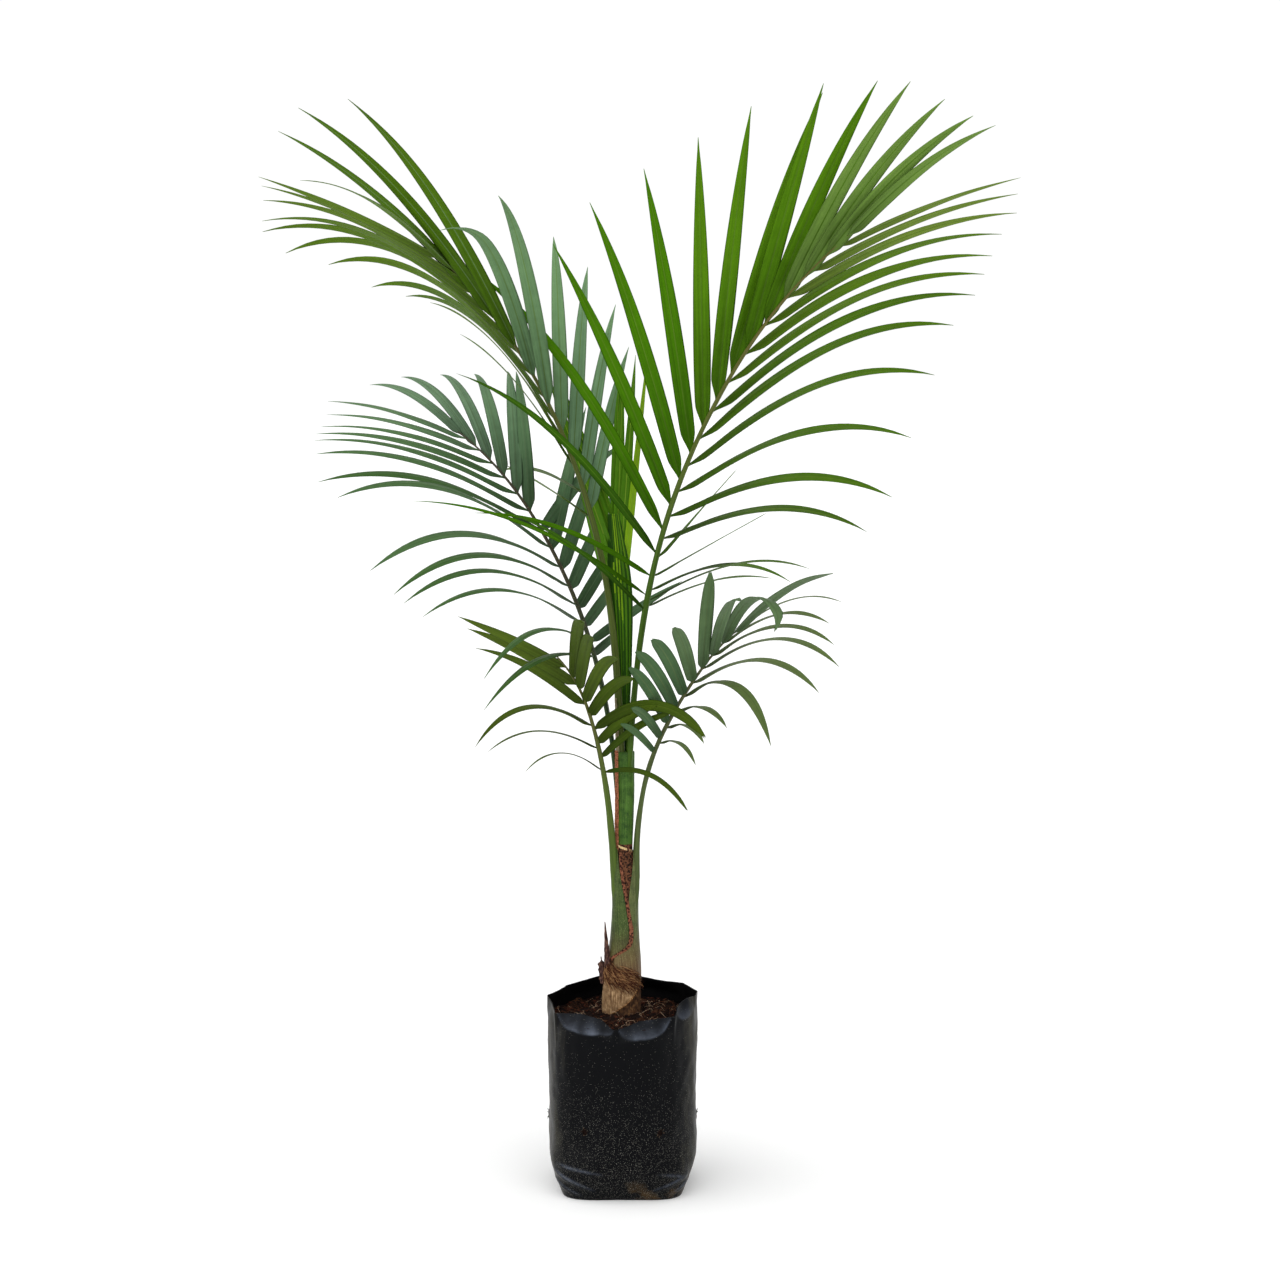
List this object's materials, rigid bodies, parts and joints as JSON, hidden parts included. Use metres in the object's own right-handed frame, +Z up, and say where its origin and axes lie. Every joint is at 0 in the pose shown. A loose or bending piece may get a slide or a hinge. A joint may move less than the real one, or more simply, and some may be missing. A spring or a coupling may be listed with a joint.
{
  "type": "potted palm seedling",
  "caption": "Young feather-leaved palm in a soft black nursery bag: a fibrous stem base, a green sheath, arching fronds with leaflets on both sides, and a folded spear leaf.",
  "frame": {"origin": "centre of the bag's flat underside", "axes": "+Z up along the stem, +X to the right and -Y towards the viewer of the front view"},
  "size_m": [0.8957, 0.9138, 1.3833],
  "materials": {
    "black_film": "satin",
    "growing_medium": "coarse brown fibre",
    "fibrous_base": "rough fibrous",
    "green_sheath": "smooth satin",
    "dry_fibre": "dry fibre",
    "leaf_bright": "satin",
    "leaf_cool": "satin",
    "leaf_olive": "satin",
    "leaf_young": "satin"
  },
  "bodies": {
    "root": {"nursery_bag": "black_film", "growing_medium": "growing_medium", "stem_base": "fibrous_base", "cut_leaf_base": "fibrous_base", "dead_petiole_stub": "dry_fibre", "dead_petiole_knob": "dry_fibre", "main_sheath": "green_sheath", "sheath_fibre_strip": "dry_fibre", "frond_tall_right": "leaf_bright", "frond_tall_left": "leaf_bright", "frond_mid_left": "leaf_cool", "frond_low_left": "leaf_olive", "frond_low_right": "leaf_cool", "spear_leaf": "leaf_young"}
  },
  "joints": []
}
